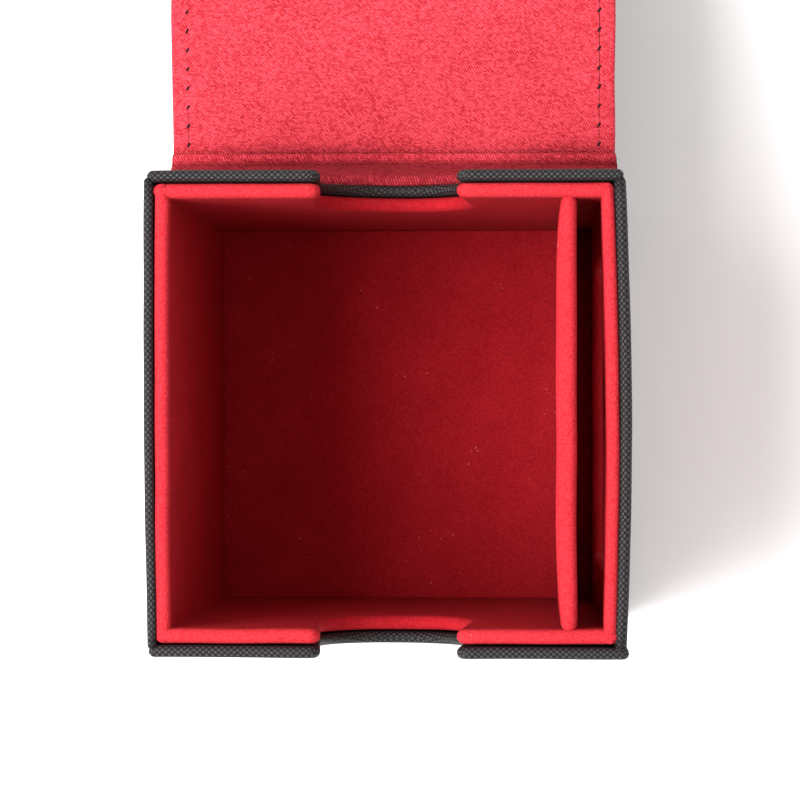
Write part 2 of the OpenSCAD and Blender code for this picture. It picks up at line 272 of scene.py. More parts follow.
# %% Group: embossed basket weave
weave_group, weave_in, weave_out = new_group(
    "embossed_weave", [("Vector", None), ("Strand", 0.001)], ["Height", "Edge"])
cells = put(weave_group, "ShaderNodeSeparateXYZ", None, _0=weave_in["Vector"])
turned = [sums(weave_group, "MULTIPLY", sums(weave_group, how, cells.outputs[0],
                                             cells.outputs[1]), math.sqrt(0.5))
          for how in ("ADD", "SUBTRACT")]
column, row = (sums(weave_group, "DIVIDE", t, weave_in["Strand"]) for t in turned)
step = sums(weave_group, "ADD", sums(weave_group, "FLOOR", column),
            sums(weave_group, "FLOOR", row))
over = sums(weave_group, "LESS_THAN",
            sums(weave_group, "FRACT", sums(weave_group, "MULTIPLY", step, 0.5)), 0.25)


def hump(tree, value):
    """A round hump over each whole step of a value."""
    return sums(tree, "ABSOLUTE", sums(tree, "SINE", sums(tree, "MULTIPLY", value, math.pi)))


def strand(tree, along, across):
    """One strand's height over its cell: round across, and lower where it dives under."""
    ridge = sums(tree, "POWER", hump(tree, across), 0.8)
    fibres = hump(tree, sums(tree, "MULTIPLY", across, 3.0))
    ridge = sums(tree, "MULTIPLY", ridge, sums(tree, "MULTIPLY_ADD", fibres, 0.3, 0.7))
    return sums(tree, "MULTIPLY", ridge, sums(tree, "POWER", hump(tree, along), 0.45))


height = sums(weave_group, "ADD",
              sums(weave_group, "MULTIPLY", strand(weave_group, row, column), over),
              sums(weave_group, "MULTIPLY", strand(weave_group, column, row),
                   sums(weave_group, "SUBTRACT", 1.0, over)))
weave_group.links.new(height, weave_out["Height"])
weave_group.links.new(sums(weave_group, "LESS_THAN", height, 0.25), weave_out["Edge"])
print("effect:", weave_group.name)

# %% Group: twill ribs
twill_group, twill_in, twill_out = new_group(
    "twill_ribs", [("Vector", None), ("Pitch", 0.0005)], ["Height", "Tone"])
wobble = put(twill_group, "ShaderNodeTexNoise", None, Vector=twill_in["Vector"], Scale=900.0,
             Detail=1.0)
parts = put(twill_group, "ShaderNodeSeparateXYZ", None, _0=twill_in["Vector"])
slanted = sums(twill_group, "MULTIPLY_ADD", parts.outputs[0], 1.16,
               sums(twill_group, "MULTIPLY", parts.outputs[1], 0.81))
diagonal = sums(twill_group, "DIVIDE", slanted, twill_in["Pitch"])
shaken = sums(twill_group, "MULTIPLY_ADD", wobble.outputs[0], 0.8, diagonal)
crossed_by = sums(twill_group, "DIVIDE", parts.outputs[1],
                  sums(twill_group, "MULTIPLY", twill_in["Pitch"], 0.55))
rough_rib = sums(twill_group, "MULTIPLY", hump(twill_group, shaken),
                 sums(twill_group, "MULTIPLY_ADD", hump(twill_group, crossed_by), 0.5, 0.5))
float_cell = put(twill_group, "ShaderNodeCombineXYZ", None,
                 _0=sums(twill_group, "FLOOR", shaken), _1=sums(twill_group, "FLOOR", crossed_by))
tone = put(twill_group, "ShaderNodeTexWhiteNoise", {"noise_dimensions": "2D"},
           Vector=float_cell.outputs[0])
twill_group.links.new(rough_rib, twill_out["Height"])
twill_group.links.new(tone.outputs["Value"], twill_out["Tone"])
print("effect:", twill_group.name)

# %% [markdown]
# ## Leather
# The skin of the case is black synthetic leather with a fine embossed basket weave. Its tops are
# a little polished and paler than its grooves, and a random grain breaks up the gloss.

# %% Material: embossed leather
strand_width, emboss_depth = 0.8 * MM, 0.16 * MM
groove_black, groove_grey = (0.003, 0.0024, 0.0028, 1), (0.007, 0.006, 0.0065, 1)
top_grey = (0.036, 0.031, 0.032, 1)

leather, tree, shader = new_material("embossed_leather")
cloth_place = put(tree, "ShaderNodeUVMap", {"uv_map": "cloth"}).outputs[0]
weave = use_group(tree, weave_group, Vector=cloth_place, Strand=strand_width)
_, grain = place_and_grain(tree, 2600.0, 3.0)
dark = blend_colour(tree, grain["Blotch"], groove_black, groove_grey)
tops = sums(tree, "MULTIPLY", sums(tree, "POWER", weave["Height"], 1.6),
            remap(tree, grain["Grain"], 0.35, 0.65, 0.25, 1.0))
relief = sums(tree, "MULTIPLY_ADD", grain["Grain"], 0.22, weave["Height"])
set_shader(tree, shader, Base_Color=blend_colour(tree, tops, dark, top_grey),
           Normal=bumped(tree, 1.0, emboss_depth, relief),
           Roughness=remap(tree, tops, 0.0, 1.0, 0.62, 0.36),
           Specular_IOR_Level=remap(tree, weave["Height"], 0.1, 0.8, 0.08, 0.48))
print("material:", leather.name)

# %% [markdown]
# ## Red cloths
# The tray is lined in short-napped microfibre: matte, faintly mottled where the nap lies another
# way, with a soft glow at grazing angles. The flap's cloth has ribs. Both carry a few pale specks
# of lint.

# %% Materials: microfibre and twill
rib_pitch, nap_depth = 0.6 * MM, 0.22 * MM
# The first colour is painted shade for the twill's fold at the wall, the second a painted highlight
# for the rolls along the tray's rim.
crease_shade_red, rim_highlight_red = (0.06, 0.001, 0.003, 1), (0.49, 0.026, 0.036, 1)
lint_pink = (0.80, 0.26, 0.26, 1)


def red_cloth(name, deep, bright, shine, ribbed):
    """A red cloth. A ribbed one shows its twill, with painted shade in its fold at the wall.
    A plain one shows its nap, with a painted highlight, paler and pinker, on the rolls along the rim."""
    material, tree, shader = new_material(name)
    object_place, grain = place_and_grain(tree, 2400.0, 5.0)
    speckle = remap(tree, grain["Grain"], 0.36, 0.64, 0.0, 1.0)
    shade = sums(tree, "MULTIPLY_ADD", grain["Blotch"], 0.5, sums(tree, "MULTIPLY", speckle, 0.55))
    relief = grain["Grain"]
    if ribbed:
        cloth_place = put(tree, "ShaderNodeUVMap", {"uv_map": "cloth"}).outputs[0]
        ribs = use_group(tree, twill_group, Vector=cloth_place, Pitch=rib_pitch)
        tone = sums(tree, "MULTIPLY_ADD", ribs["Tone"], 0.85, sums(tree, "MULTIPLY", shade, 0.65))
        shade = sums(tree, "MULTIPLY", sums(tree, "POWER", ribs["Height"], 0.8), tone)
        relief = sums(tree, "MULTIPLY_ADD", grain["Grain"], 0.6, ribs["Height"])
    colour = blend_colour(tree, shade, deep, bright)
    if ribbed:
        run = put(tree, "ShaderNodeSeparateXYZ", None, _0=cloth_place).outputs[1]
        # Painted shade: the twill is darkened in the fold at the wall, where the wall shades it.
        crease_shade = sums(tree, "MULTIPLY", remap(tree, run, -2.0 * MM, 0.0, 0.0, 0.55),
                      remap(tree, run, 8.5 * MM, 10.0 * MM, 1.0, 0.0))
        colour = blend_colour(tree, crease_shade, colour, crease_shade_red)
    else:
        height = put(tree, "ShaderNodeSeparateXYZ", None, _0=object_place).outputs[2]
        # Painted highlight: the nap is paler and pinker on the rolls along the rim, where the light
        # falls on them.
        rim_highlight = remap(tree, height, rim - 3.0 * MM, rim - 0.4 * MM, 0.0, 1.0)
        rim_highlight = sums(tree, "MULTIPLY", rim_highlight, remap(tree, grain["Grain"], 0.38, 0.62, 0.35, 1.0))
        colour = blend_colour(tree, rim_highlight, colour, rim_highlight_red)
    lint = put(tree, "ShaderNodeTexVoronoi", None, Vector=object_place, Scale=700.0)
    speck = remap(tree, lint.outputs["Distance"], 0.06, 0.16, 0.45, 0.0)
    speck = sums(tree, "MULTIPLY", speck, remap(tree, grain["Blotch"], 0.62, 0.70, 0.0, 1.0))
    colour = blend_colour(tree, speck, colour, lint_pink)
    set_shader(tree, shader, Base_Color=colour, Normal=bumped(tree, 0.8, nap_depth, relief),
               Roughness=0.9, Specular_IOR_Level=shine, Sheen_Weight=0.02, Sheen_Roughness=0.5,
               Sheen_Tint=(1.0, 0.15, 0.18, 1))
    return material


microfibre = red_cloth("red_microfibre", (0.21, 0.002, 0.005, 1), (0.43, 0.013, 0.021, 1), 0.10,
                       ribbed=False)
twill = red_cloth("red_twill", (0.25, 0.001, 0.004, 1), (0.90, 0.078, 0.112, 1), 0.14, ribbed=True)
print("materials:", microfibre.name, twill.name)

# %% [markdown]
# ## Small materials
# Thread is twisted and nearly matte, board is fibrous and the magnets are plated. The film is
# clear: it mirrors the small share of light that a thin sheet turns back, and passes the rest.

# %% Materials: the two threads
def thread_material(name, colour, pale):
    """Sewing thread with a fine twist."""
    material, tree, shader = new_material(name)
    place = put(tree, "ShaderNodeTexCoord").outputs["Object"]
    twist = put(tree, "ShaderNodeTexWave", {"bands_direction": "DIAGONAL"}, Vector=place,
                Scale=1500.0, Distortion=1.5)
    set_shader(tree, shader, Normal=bumped(tree, 0.6, 0.06 * MM, twist.outputs["Fac"]),
               Roughness=0.7, Specular_IOR_Level=0.12,
               Base_Color=blend_colour(tree, twist.outputs["Fac"], colour, pale))
    return material


dark_thread = thread_material("dark_thread", (0.010, 0.002, 0.003, 1), (0.03, 0.006, 0.009, 1))
red_thread = thread_material("red_thread", (0.35, 0.010, 0.020, 1), (0.60, 0.030, 0.050, 1))
print("materials:", dark_thread.name, red_thread.name)

# %% Materials: board, plate and film
board, tree, shader = new_material("grey_board")
_, grain = place_and_grain(tree, 1500.0, 5.0)
set_shader(tree, shader, Normal=bumped(tree, 0.5, 0.1 * MM, grain["Grain"]), Roughness=0.9,
           Base_Color=blend_colour(tree, grain["Grain"], (0.30, 0.26, 0.20, 1),
                                   (0.50, 0.45, 0.37, 1)))

plate, tree, shader = new_material("nickel_plate")
_, grain = place_and_grain(tree, 1200.0, 2.0)
set_shader(tree, shader, Base_Color=(0.75, 0.74, 0.72, 1), Metallic=1.0,
           Roughness=remap(tree, grain["Grain"], 0.3, 0.7, 0.18, 0.35))

film, tree, shader = new_material("clear_film")
_, grain = place_and_grain(tree, 400.0, 2.0)
facing = put(tree, "ShaderNodeLayerWeight", None, Blend=0.5).outputs["Facing"]
set_shader(tree, shader, Base_Color=(0.93, 0.94, 0.95, 1), Metallic=1.0,
           Alpha=remap(tree, sums(tree, "POWER", facing, 5.0), 0.0, 1.0, 0.03, 1.0),
           Roughness=remap(tree, grain["Grain"], 0.3, 0.7, 0.05, 0.12))
print("materials:", len(bpy.data.materials))

# %% [markdown]
# ## Finishing a piece
# Every piece is built flat in its own easy coordinates: X along it, Y up it, and Z out of its
# face. A matrix then stands it in its place, its faces are smoothed, it is tied to the body
# that it moves with, and the plain part that it stands for is hidden.

# %% Helpers: stand a piece up, finish it
WALL_TURNS = {
    "front": Matrix(((1, 0, 0), (0, 0, -1), (0, 1, 0))),
    "back": Matrix(((-1, 0, 0), (0, 0, 1), (0, 1, 0))),
    "left": Matrix(((0, 0, -1), (-1, 0, 0), (0, 1, 0))),
    "right": Matrix(((0, 0, 1), (1, 0, 0), (0, 1, 0))),
}


def stood(facing, place):
    """The matrix that stands a flat piece up as a wall, with its origin at a place."""
    return Matrix.Translation(place) @ WALL_TURNS[facing].to_4x4()


def finish_piece(bm, name, material, replaced, body=None):
    """Makes the piece's object with its finish, hides the parts it replaces, and ties it to its body.
    """
    if bm.calc_volume(signed=True) < 0:
        bmesh.ops.reverse_faces(bm, faces=bm.faces)
    mesh = bpy.data.meshes.new(name)
    bm.to_mesh(mesh)
    bm.free()
    mesh.materials.append(material)
    mesh.shade_smooth()
    piece = bpy.data.objects.new(name, mesh)
    bpy.context.scene.collection.objects.link(piece)
    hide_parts(replaced)
    if body:
        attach(piece, body)
    print(f"{name}: {len(mesh.polygons)} faces")
    return piece


# %% Helpers: slice, mirror and lay cloth
def slice_at(bm, axis, value, **clear):
    """Cuts every face where it crosses a plane, and can clear what lies beyond it."""
    normal = Vector((0, 0, 0))
    normal[axis] = 1
    bmesh.ops.bisect_plane(bm, geom=bm.verts[:] + bm.edges[:] + bm.faces[:], dist=1e-7,
                           plane_co=normal * value, plane_no=normal, **clear)


def slice_evenly(bm, x_low, x_high, y_low, y_high, pitch):
    """Cuts both ways at even steps, so that a flat face can bend."""
    for axis, low, high in ((0, x_low, x_high), (1, y_low, y_high)):
        count = max(1, round((high - low) / pitch))
        for i in range(1, count):
            slice_at(bm, axis, low + (high - low) * i / count)


def mirror_over(bm, axis, join=1e-6):
    """Mirrors a half across the plane at zero, and joins the halves where they meet."""
    bmesh.ops.mirror(bm, geom=bm.verts[:] + bm.edges[:] + bm.faces[:], axis=axis,
                     matrix=Matrix.Identity(4), merge_dist=join)


def lay_cloth(bm, place_of):
    """Gives each vertex's corners its place on the flat cloth, in metres."""
    layer = bm.loops.layers.uv.new("cloth")
    for face in bm.faces:
        for loop in face.loops:
            loop[layer].uv = place_of(loop.vert)


def soft_noise(place, size, seed=0.0):
    """Smooth noise from -1 to 1 with bumps of about that size."""
    return noise.noise(Vector(place) / size + Vector((seed, seed * 1.7, -seed)))


print("shape helpers ready")

# %% [markdown]
# ## A board wrapped in a skin
# Each wall is a board with its skin turned over the edges, so every edge is a soft roll. The shape
# starts as half of the wall's outline: a rectangle, with the notch or the window cut out by two
# or three slices and its corners rounded. It is mirrored to the whole outline. Insets that step
# in and up by a quarter circle raise the roll, and a second mirror makes the other side.

# %% Helper: an outline with a notch or a window
def round_corner(bm, x, y, radius, segments):
    """Rounds the outline's corner at a point."""
    corner = min(bm.verts, key=lambda v: (v.co - Vector((x, y, 0))).length)
    bmesh.ops.bevel(bm, geom=[corner], offset=radius, offset_type="OFFSET", segments=segments,
                    profile=0.5, affect="VERTICES", clamp_overlap=False, material=-1)


def outline(half_width, low, high, cut=None, rounds=()):
    """A flat outline, the same left and right. A cut is (half width, low, high, half width of its
    neck), and each round is (x, y, radius, segments) in the right half."""
    bm = bmesh.new()
    bmesh.ops.create_grid(bm, x_segments=1, y_segments=1, size=0.5)
    bmesh.ops.transform(bm, verts=bm.verts, matrix=Matrix.Translation(
        (half_width / 2, (low + high) / 2, 0)) @ Matrix.Diagonal((half_width, high - low, 1, 1)))
    if cut:
        cut_x, cut_low, cut_high, neck = cut
        slice_at(bm, 0, cut_x)
        slice_at(bm, 1, cut_low)
        if cut_high < high:
            slice_at(bm, 1, cut_high)
        middle = [(f, f.calc_center_median()) for f in bm.faces]
        gone = [f for f, c in middle if c.x < cut_x and cut_low < c.y < cut_high]
        bmesh.ops.delete(bm, geom=gone, context="FACES")
        bmesh.ops.dissolve_faces(bm, faces=bm.faces[:])
        for vert in bm.verts:
            if abs(vert.co.x - cut_x) < 1e-6 and vert.co.y > high - 1e-6:
                vert.co.x = neck
    for x, y, radius, segments in rounds:
        round_corner(bm, x, y, radius, segments)
    mirror_over(bm, "X")
    bmesh.ops.remove_doubles(bm, verts=bm.verts, dist=2e-6)
    bmesh.ops.recalc_face_normals(bm, faces=bm.faces)
    if bm.faces[:][0].normal.z < 0:
        bmesh.ops.reverse_faces(bm, faces=bm.faces)
    return bm


def raise_edge(bm, radius, steps=5, wall=0.0):
    """Raises the outline's face by a straight wall and then a quarter-circle edge."""
    top = bm.faces[:]
    if wall > 0.01 * MM:
        bmesh.ops.inset_region(bm, faces=top, thickness=0, depth=wall, use_boundary=True,
                               use_even_offset=True)
    for i in range(steps):
        a, b = (math.pi / 2 * (i + k) / steps for k in (0, 1))
        bmesh.ops.inset_region(
            bm, faces=top, use_boundary=True, use_even_offset=True,
            thickness=radius * (math.cos(a) - math.cos(b)),
            depth=radius * (math.sin(b) - math.sin(a)))
    return top


# %% Helper: cloth coordinates over a rolled edge
def wrap_coordinates(bm, radius, top):
    """Cloth coordinates in metres. They run up the outside, over the top roll and down the
    inside, and at other edges they unroll from each side."""
    bm.normal_update()
    layer = bm.loops.layers.uv.new("cloth")
    over_top = 2 * (top - radius + radius * math.pi / 2)
    for face in bm.faces:
        inside = face.calc_center_median().z < 0
        for loop in face.loops:
            vert = loop.vert
            share = min(1.0, abs(vert.co.z) / radius)
            extra = radius * (math.acos(share) - math.sqrt(1 - share * share))
            outward = Vector((vert.normal.x, vert.normal.y))
            if outward.length > 1e-4:
                outward.normalize()
            place = Vector((vert.co.x, vert.co.y)) + outward * extra
            if inside:
                place.y = over_top - place.y
            loop[layer].uv = place


bend_pitch = 4 * MM


def closed_sheet(half_width, low, high, thickness, radius, cut=None, rounds=(), pitch=bend_pitch):
    """A flat board or skin with rounded edges, closed and cut fine enough to bend."""
    bm = outline(half_width, low, high, cut, rounds)
    raise_edge(bm, radius, 5 if radius > 0.5 * MM else 2, thickness / 2 - radius)
    mirror_over(bm, "Z")
    bmesh.ops.recalc_face_normals(bm, faces=bm.faces)
    slice_evenly(bm, -half_width, half_width, low, high, pitch)
    return bm


# %% [markdown]
# ## The case
# The front and back walls span the full width and the side walls stand between them. Their skins
# aren't perfectly even: the rolls wander by a tenth of a millimetre, and the window wall, which
# has the least board left in it, bows out by about a millimetre.

# %% Sizes of the case, the notches and the window
case_low, case_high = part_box("front_leather")
case_t = case_high.y - case_low.y
half_width, half_depth = case_high.x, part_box("back_leather")[1].y
side_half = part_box("right_leather")[1].y
notch_neck, notch_foot, notch_depth, shoulder_r = 12.2 * MM, 14.98 * MM, 41 * MM, 2.5 * MM
window_half, window_r = 29 * MM, 5.5 * MM
window_low, window_high = 14 * MM, 90 * MM
corner_r = 0.8 * MM
print("case:", *(round(size / MM, 1) for size in (2 * half_width, 2 * half_depth, rim)), "mm")

# %% Helpers: openings, uneven skins and wrapped walls
board_edge = 0.15 * MM


def notch_opening(top, gap=0.0):
    """The notch as a cut, grown by a gap, with the rounds of its bottom and its shoulder. Its
    sides lean in from the foot to the neck, and the bottom's round takes up the whole foot."""
    bottom, foot, neck = rim - notch_depth - gap, notch_foot + gap, notch_neck + gap
    return (foot, bottom, top + MM, neck), [(foot, bottom, foot * 0.999, 18),
                                            (neck, top, shoulder_r - gap, 8)]


def window_opening(_top, gap=0.0):
    """The window as a cut, grown by a gap, with the rounds of its corners."""
    x, low, high, radius = window_half + gap, window_low - gap, window_high + gap, window_r + gap
    return (x, low, high, x), [(x, low, radius, 8), (x, high, radius, 8)]


def no_opening(_top, _gap=0.0):
    """A plain wall."""
    return None, []


def wander(bm, matrix, amount, seed, bend=(0.0, 0.0, 0.0), span=1.0, height=1.0):
    """Stands a flat piece up, after soft noise and a bend that grows with height. The bend is
    (lean, bow, skew): how far the top goes outward everywhere, in the middle, and at one end."""
    lean, bow, skew = bend
    for vert in bm.verts:
        place = vert.co.copy()
        along = max(-1.0, min(1.0, place.x / span))
        rise = math.sin(math.pi / 2 * max(0.0, min(1.0, place.y / height)))
        vert.co.z += amount * soft_noise(place, 14 * MM, seed)
        vert.co.z += rise * (lean + bow * math.cos(math.pi / 2 * along) + skew * along)
        vert.co.y += 0.6 * amount * soft_noise(place, 9 * MM, seed + 5)
    bmesh.ops.transform(bm, matrix=matrix, verts=bm.verts)


def wrapped_wall(name, nodes, looks, facing, place, size, seed, opening=no_opening, corner=0.0,
                 bend=(0.0, 0.0, 0.0), reshape=None, skin=0.5 * MM):
    """A wrapped wall and the board inside it. Size is (half width, low, top, thickness), and looks
    are the skin's material, its slot, which is not used, and how much it wanders."""
    half, low, top, thickness = size
    inner = (half - skin - 0.6 * MM, low + skin, top - 1.4 * skin, thickness - 2.4 * skin)
    layers = [(name, nodes[0], *looks, size, 0.0, thickness / 2, bend_pitch),
              (name.rsplit("_", 1)[0] + "_stiffener", nodes[1], board, "board", 0.0, inner, skin,
               board_edge, 1.5 * bend_pitch)]
    for title, node, material, slot, amount, (half, low, top, thick), gap, edge, pitch in layers:
        cut, rounds = opening(top, gap)
        if corner > gap:
            rounds = rounds + [(half, top, max(corner - gap, edge + 0.05 * MM), 4)]
        bm = closed_sheet(half, low, top, thick, edge, cut, rounds, pitch)
        wrap_coordinates(bm, thick / 2, top)
        if reshape:
            reshape(bm)
        wander(bm, stood(facing, place), amount, seed, bend, side_half, rim)
        finish_piece(bm, title, material, node, "box")


def pull_ends(facing, left, right, begin=22 * MM):
    """Stretches a front or back wall, so that its two ends move out by those amounts."""
    sign = 1 if facing == "front" else -1

    def reshape(bm):
        for vert in bm.verts:
            across = sign * vert.co.x
            share = max(0.0, (abs(across) - begin) / (half_width - begin))
            vert.co.x += sign * (right if across > 0 else -left) * share
    return reshape


print("wall helpers ready")

# %% Wrap the case's walls
skin_low = 0.3 * MM
leather_looks = (leather, "leather", 0.12 * MM)
end_walls = {
    "front": (-half_depth + case_t / 2, 1.0, (0.0, 0.0), (0.33 * MM, 0.0, 0.1 * MM)),
    "back": (half_depth - case_t / 2, 2.0, (0.35 * MM, -0.95 * MM), (0.1 * MM, 0.0, 0.0)),
}
for facing, (y_middle, seed, ends, bend) in end_walls.items():
    wrapped_wall(f"{facing}_wall_leather", (f"{facing}_leather", f"{facing}_board"),
                 leather_looks, facing, (0, y_middle, 0), (half_width, skin_low, rim, case_t),
                 seed, notch_opening, corner_r, bend, pull_ends(facing, *ends))

tuck, left_t = 0.9 * MM, 1.8 * MM
window_bend = (-0.5 * MM, 1.1 * MM, -0.1 * MM)
side_walls = {
    "left": (-half_width + left_t / 2, 3.0, left_t, no_opening, 0.36 * MM,
             (0.58 * MM, 0.27 * MM, -0.37 * MM)),
    "right": (half_width - case_t / 2, 4.0, case_t, window_opening, 0.5 * MM, window_bend),
}
for facing, (x_middle, seed, thickness, opening, skin, bend) in side_walls.items():
    wrapped_wall(f"{facing}_wall_leather", (f"{facing}_leather", f"{facing}_board"),
                 leather_looks, facing, (x_middle, 0, 0),
                 (side_half + tuck, skin_low, rim - 0.1 * MM, thickness), seed, opening,
                 bend=bend, skin=skin)

# %% Cover the underside
low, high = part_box("base_leather")
base_inset, base_edge = 0.4 * MM, (high.z - low.z) / 2
base_x, base_y = high.x - base_inset, (low.y + base_inset, high.y - base_inset)
base = outline(base_x, *base_y, rounds=[(base_x, y, MM, 4) for y in reversed(base_y)])
raise_edge(base, base_edge, 3)
mirror_over(base, "Z")
bmesh.ops.recalc_face_normals(base, faces=base.faces)
wrap_coordinates(base, base_edge, high.y)
bmesh.ops.translate(base, vec=(0, 0, (high.z + low.z) / 2), verts=base.verts)
finish_piece(base, "underside_leather", leather, "base_leather", "box")

# %% [markdown]
# ## The tray
# The tray's walls are wrapped in the same way, in red. The front and back ones have the same
# notches, and the window goes through the one behind it. The wrapped rolls are a little fuller
# than the leather ones, and they leave a dark groove between the two.

# %% Line the tray's walls
groove = 0.12 * MM
nap_looks = (microfibre, "microfibre", 0.16 * MM)
tray_reach = half_width - left_t - 0.1 * MM
for facing, seed, ends in (("front", 11.0, (0.55 * MM, 0.0)),
                           ("back", 12.0, (1.2 * MM, -0.75 * MM))):
    low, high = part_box(f"inner_{facing}_lining")
    wrapped_wall(f"tray_{facing}_lining", (f"inner_{facing}_lining", f"inner_{facing}_board"),
                 nap_looks, facing,
                 (0, (low.y + high.y) / 2 - math.copysign(groove / 2, low.y), 0),
                 (tray_reach, low.z, high.z, high.y - low.y - groove), seed, notch_opening, MM,
                 reshape=pull_ends(facing, *ends))

side_linings = {
    "left": (-tray_reach - 0.45 * MM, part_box("inner_left_lining")[1].x + 0.15 * MM, 13.0,
             no_opening, (0.25 * MM, 0.1 * MM, -0.15 * MM)),
    "right": (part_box("inner_right_lining")[0].x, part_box("inner_right_lining")[1].x - groove, 14.0,
              window_opening, (0.15 * MM, 0.75 * MM, -0.25 * MM)),
}
for facing, (x_low, x_high, seed, opening, bend) in side_linings.items():
    low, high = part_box(f"inner_{facing}_lining")
    wrapped_wall(f"tray_{facing}_lining", (f"inner_{facing}_lining", f"inner_{facing}_board"),
                 nap_looks, facing, ((x_low + x_high) / 2, 0, 0),
                 (high.y + 2.5 * MM, low.z, high.z - 0.06 * MM, x_high - x_low), seed, opening,
                 bend=bend)

# %% Lay the tray's floor
low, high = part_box("floor_lining")
floor_edge = 0.2 * MM
tray_floor = outline(high.x - (low.x + high.x) / 2, low.y, high.y)
raise_edge(tray_floor, floor_edge, 2, high.z - low.z - floor_edge)
slice_evenly(tray_floor, low.x, high.x, low.y, high.y, bend_pitch)
lay_cloth(tray_floor, lambda vert: vert.co.xy)
for vert in tray_floor.verts:
    if vert.co.z > 0.4 * MM:
        vert.co.z += 0.1 * MM * soft_noise(vert.co, 20 * MM, 3.0)
rims = [e for e in tray_floor.edges if e.is_boundary]
bmesh.ops.holes_fill(tray_floor, edges=rims, sides=0)
bmesh.ops.recalc_face_normals(tray_floor, faces=tray_floor.faces)
bmesh.ops.translate(tray_floor, vec=((low.x + high.x) / 2, 0, low.z), verts=tray_floor.verts)
finish_piece(tray_floor, "tray_floor_lining", microfibre, "floor_lining", "box")

# %% [markdown]
# ## The divider
# A wrapped board stands between the cards and the display slot. Its cloth is pinched in at the
# two ends, where it is folded round the board, and it is fullest along the middle.

# %% Wrap the divider
low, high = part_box("divider_lining")
divider_t = high.x - low.x
divider_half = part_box("inner_back_lining")[0].y + 0.65 * MM


def pinch(bm, reach=6 * MM, half=divider_half, top=high.z):
    """Swells the divider's card side along its middle, and pinches both of its ends."""
    for vert in bm.verts:
        end = math.exp(-max(0.0, half - abs(vert.co.x)) / reach)
        near_top = math.exp(-max(0.0, top - vert.co.y) / (30 * MM))
        if vert.co.z < 0:
            vert.co.z *= 1 + (0.55 - 0.75 * end) * near_top


wrapped_wall("divider_cloth", ("divider_lining", "divider_board"),
             (microfibre, "microfibre", 0.14 * MM), "right",
             ((low.x + high.x) / 2, 0, 0), (divider_half, low.z, high.z, divider_t), 21.0,
             corner=1.2 * MM, reshape=pinch)

# %% [markdown]
# ## The window
# A clear film lies behind the window, between the two walls, and follows their bow. A row of red
# stitches holds it all round.

# %% Set the film
low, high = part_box("window_film")
pane = outline(high.y, low.z, high.z)
raise_edge(pane, (high.x - low.x) / 2, 2)
mirror_over(pane, "Z", 1e-7)
bmesh.ops.recalc_face_normals(pane, faces=pane.faces)
slice_evenly(pane, -high.y, high.y, low.z, high.z, bend_pitch)
wander(pane, stood("right", ((low.x + high.x) / 2, 0, 0)), 0.0, 0.0,
       (-0.3 * MM, 0.95 * MM, 0.0), side_half, rim)
finish_piece(pane, "window_pane", film, "window_film", "box")

# %% [markdown]
# ## Stitches
# One stitch is a small capsule that sinks into the cloth at both ends. A row places copies of it
# along a line at an even pitch, each a little slanted, as a lock stitch lies.

# %% Helper: a row of stitches
def add_stitch(bm, place, along, normal, length, width, slant=0.0):
    """One stitch at a place, along a direction on a face."""
    side = normal.cross(along)
    heading = (along * math.cos(slant) + side * math.sin(slant)).normalized()
    turn = Matrix((heading, normal.cross(heading), normal)).transposed().to_4x4()
    size = Matrix.Diagonal((length / 2, width / 2, width * 0.45, 1))
    bmesh.ops.create_uvsphere(bm, u_segments=8, v_segments=6, radius=1.0,
                              matrix=Matrix.Translation(place) @ turn @ size)


def stitch_line(start, end, pitch):
    """Even places along a straight line, with its direction."""
    along = (end - start).normalized()
    count = max(1, round((end - start).length / pitch))
    return [(start + (end - start) * (i + 0.5) / count, along) for i in range(count)]


print("stitch helpers ready")

# %% Sew round the window
stitch_out, window_pitch, corner_stitches = 2.2 * MM, 3.0 * MM, 4
window_stitch = {"length": 2.3 * MM, "width": 0.5 * MM, "slant": 0.12}
ring_x, ring_r = window_half + stitch_out, window_r + stitch_out
ring_low, ring_high = window_low - stitch_out, window_high + stitch_out
ring = bmesh.new()
straight = [
    (Vector((-ring_x + ring_r, ring_low, 0)), Vector((ring_x - ring_r, ring_low, 0))),
    (Vector((ring_x, ring_low + ring_r, 0)), Vector((ring_x, ring_high - ring_r, 0))),
    (Vector((ring_x - ring_r, ring_high, 0)), Vector((-ring_x + ring_r, ring_high, 0))),
    (Vector((-ring_x, ring_high - ring_r, 0)), Vector((-ring_x, ring_low + ring_r, 0)))]
stitches = [s for a, b in straight for s in stitch_line(a, b, window_pitch)]
for quarter, (corner_x, corner_y) in enumerate(((1, -1), (1, 1), (-1, 1), (-1, -1))):
    centre = Vector((corner_x * (ring_x - ring_r), (ring_low + ring_high) / 2
                     + corner_y * ((ring_high - ring_low) / 2 - ring_r), 0))
    for k in range(corner_stitches):
        angle = math.pi / 2 * (quarter - 1 + (k + 0.5) / corner_stitches)
        stitches.append((centre + ring_r * Vector((math.cos(angle), math.sin(angle), 0)),
                         Vector((-math.sin(angle), math.cos(angle), 0))))
for place, along in stitches:
    add_stitch(ring, place, along, Vector((0, 0, 1)), **window_stitch)
wander(ring, stood("right", (half_width + 0.02 * MM, 0, 0)), 0.0, 0.0, window_bend, side_half, rim)
finish_piece(ring, "window_stitches", red_thread, "window_thread", "box")

# %% [markdown]
# ## The flap's line
# The flap's shape is a line in the plane of Y and Z, with straight panels between soft folds.
# The hinges' places and ranges fix the panels. A fold is a short chain of points whose corners
# are cut again and again, which makes a smooth bend that leaves each panel in its own direction.

